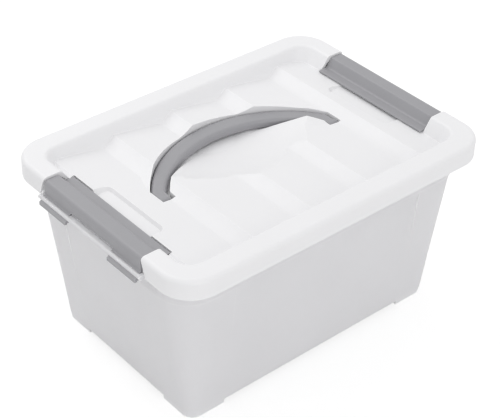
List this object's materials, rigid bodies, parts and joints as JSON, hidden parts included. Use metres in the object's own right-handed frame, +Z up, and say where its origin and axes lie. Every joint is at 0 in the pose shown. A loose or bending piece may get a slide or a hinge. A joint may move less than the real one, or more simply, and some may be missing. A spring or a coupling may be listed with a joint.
{
  "type": "plastic storage box",
  "caption": "Frosted clear plastic storage box with a white ribbed lid, grey clip latches at the short ends and a grey arched carry handle that folds flat into the lid.",
  "frame": {"origin": "middle of the footprint on the ground, under the feet", "axes": "+X along the length towards one latch, +Y towards the side that the folded handle points to, +Z up"},
  "size_m": [0.2886, 0.2, 0.1448],
  "materials": {
    "frosted_clear": "frosted translucent polypropylene, satin",
    "white": "satin white",
    "grey": "satin grey"
  },
  "bodies": {
    "box": {"box_body": "frosted_clear"},
    "lid": {"lid": "white"},
    "handle": {"carry_handle": "grey"},
    "right_latch": {"latch_right": "grey"},
    "left_latch": {"latch_left": "grey"}
  },
  "joints": [
    {"name": "lid_lift", "type": "slide", "parent": "box", "child": "lid", "axis": [0, 0, 1], "range_m": [0, 0.18]},
    {"name": "handle_pivot", "type": "hinge", "parent": "lid", "child": "handle", "pos_m": [0, 0, 0.12825], "axis": [1, 0, 0], "range_deg": [0, 90]},
    {"name": "right_latch_hinge", "type": "hinge", "parent": "box", "child": "right_latch", "pos_m": [0.1412, 0, 0.13], "axis": [0, 1, 0], "range_deg": [0, 115]},
    {"name": "left_latch_hinge", "type": "hinge", "parent": "box", "child": "left_latch", "pos_m": [-0.1412, 0, 0.13], "axis": [0, -1, 0], "range_deg": [0, 115]}
  ]
}
